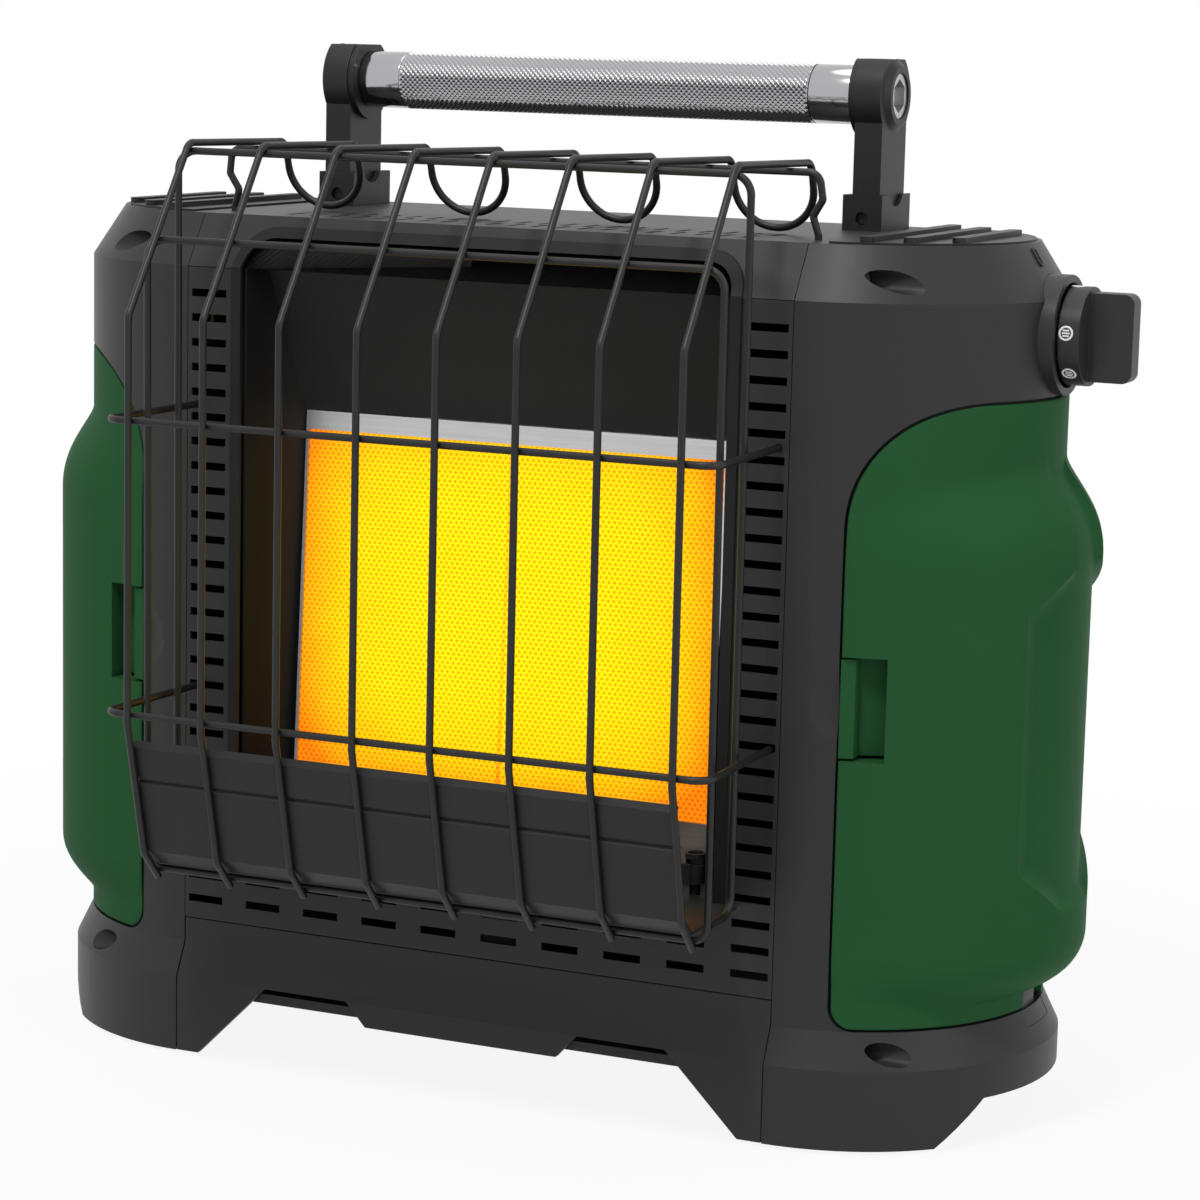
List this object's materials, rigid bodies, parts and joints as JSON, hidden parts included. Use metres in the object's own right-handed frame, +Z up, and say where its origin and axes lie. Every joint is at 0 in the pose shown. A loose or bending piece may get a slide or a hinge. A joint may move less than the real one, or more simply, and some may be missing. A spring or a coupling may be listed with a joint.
{
  "type": "portable propane heater",
  "caption": "Portable gas heater with a tilted glowing burner behind a wire guard, rounded cylinder bays with hinged doors, a side knob and a folding carry handle.",
  "frame": {"origin": "on the ground, under the middle of the object's box", "axes": "+X to the heater's right side (the knob's side, seen from the front), +Y to the back, +Z up"},
  "size_m": [0.472, 0.2403, 0.4185],
  "materials": {
    "charcoal_metal": "satin",
    "charcoal_plastic": "textured",
    "black_plastic": "satin",
    "green_plastic": "satin",
    "black_rubber": "matte",
    "black_metal": "satin",
    "bright_steel": "brushed",
    "chrome_grip": "knurled",
    "brass_fittings": "machined",
    "glowing_ceramic": "matte",
    "white_ceramic": "glazed"
  },
  "bodies": {
    "heater": {"front_panel": "charcoal_metal", "top_cover": "charcoal_metal", "rear_cover": "charcoal_metal", "base_skirt": "charcoal_plastic", "base_pan": "black_plastic", "left_end_housing": "charcoal_plastic", "right_end_housing": "charcoal_plastic", "left_top_pad": "black_plastic", "right_top_pad": "black_plastic", "rubber_feet": "black_rubber", "housing_screws": "bright_steel", "recess_trim": "black_metal", "reflector_hood": "black_metal", "burner_frame": "bright_steel", "left_burner_tile": "glowing_ceramic", "right_burner_tile": "glowing_ceramic", "burner_plenum": "bright_steel", "mixing_tube": "bright_steel", "orifice_holder": "brass_fittings", "heat_deflector": "black_metal", "pilot_burner": "brass_fittings", "thermocouple": "bright_steel", "igniter_electrode": "white_ceramic", "left_bay_wall": "bright_steel", "right_bay_wall": "bright_steel", "tip_over_switch": "black_plastic", "spark_module": "black_plastic", "gas_valve": "brass_fittings", "knob_collar": "charcoal_plastic", "knob_spring": "bright_steel", "burner_pipe": "brass_fittings", "pilot_pipe": "brass_fittings", "supply_pipe": "brass_fittings", "left_regulator": "bright_steel", "right_regulator": "bright_steel", "guard_wires": "black_metal", "guard_middle_frame": "black_metal", "guard_rear_frame": "black_metal", "guard_top_rail": "black_metal", "guard_upper_rail": "black_metal", "guard_lower_rail": "black_metal", "left_hinge_pins": "bright_steel", "right_hinge_pins": "bright_steel", "left_handle_bracket": "black_plastic", "right_handle_bracket": "black_plastic", "handle_pivot_pins": "bright_steel"},
    "left_door": {"left_door": "green_plastic"},
    "right_door": {"right_door": "green_plastic"},
    "left_latch": {"left_door_latch": "green_plastic"},
    "right_latch": {"right_door_latch": "green_plastic"},
    "valve_spindle": {"valve_stem": "bright_steel"},
    "knob": {"control_knob": "charcoal_plastic"},
    "handle": {"left_handle_arm": "black_plastic", "right_handle_arm": "black_plastic", "handle_grip": "chrome_grip", "handle_bolts": "bright_steel"}
  },
  "joints": [
    {"name": "left_door_hinge", "type": "hinge", "parent": "heater", "child": "left_door", "pos_m": [-0.1565, 0.11182, 0.15], "axis": [0, 0, -1], "range_deg": [0, 105]},
    {"name": "right_door_hinge", "type": "hinge", "parent": "heater", "child": "right_door", "pos_m": [0.1445, 0.11182, 0.15], "axis": [0, 0, 1], "range_deg": [0, 105]},
    {"name": "left_latch_slide", "type": "slide", "parent": "left_door", "child": "left_latch", "axis": [-1, 0, 0], "range_m": [0, 0.003], "stiffness_N_per_m": 300, "springref_m": -0.001},
    {"name": "right_latch_slide", "type": "slide", "parent": "right_door", "child": "right_latch", "axis": [1, 0, 0], "range_m": [0, 0.003], "stiffness_N_per_m": 300, "springref_m": -0.001},
    {"name": "knob_turn", "type": "hinge", "parent": "heater", "child": "valve_spindle", "pos_m": [0.21, 0.03232, 0.315], "axis": [1, 0, 0], "range_deg": [0, 180]},
    {"name": "knob_push", "type": "slide", "parent": "valve_spindle", "child": "knob", "axis": [-1, 0, 0], "range_m": [0, 0.003], "stiffness_N_per_m": 600, "springref_m": -0.001},
    {"name": "handle_fold", "type": "hinge", "parent": "heater", "child": "handle", "pos_m": [-0.006, 0.08142, 0.355], "axis": [-1, 0, 0], "range_deg": [0, 90]}
  ]
}
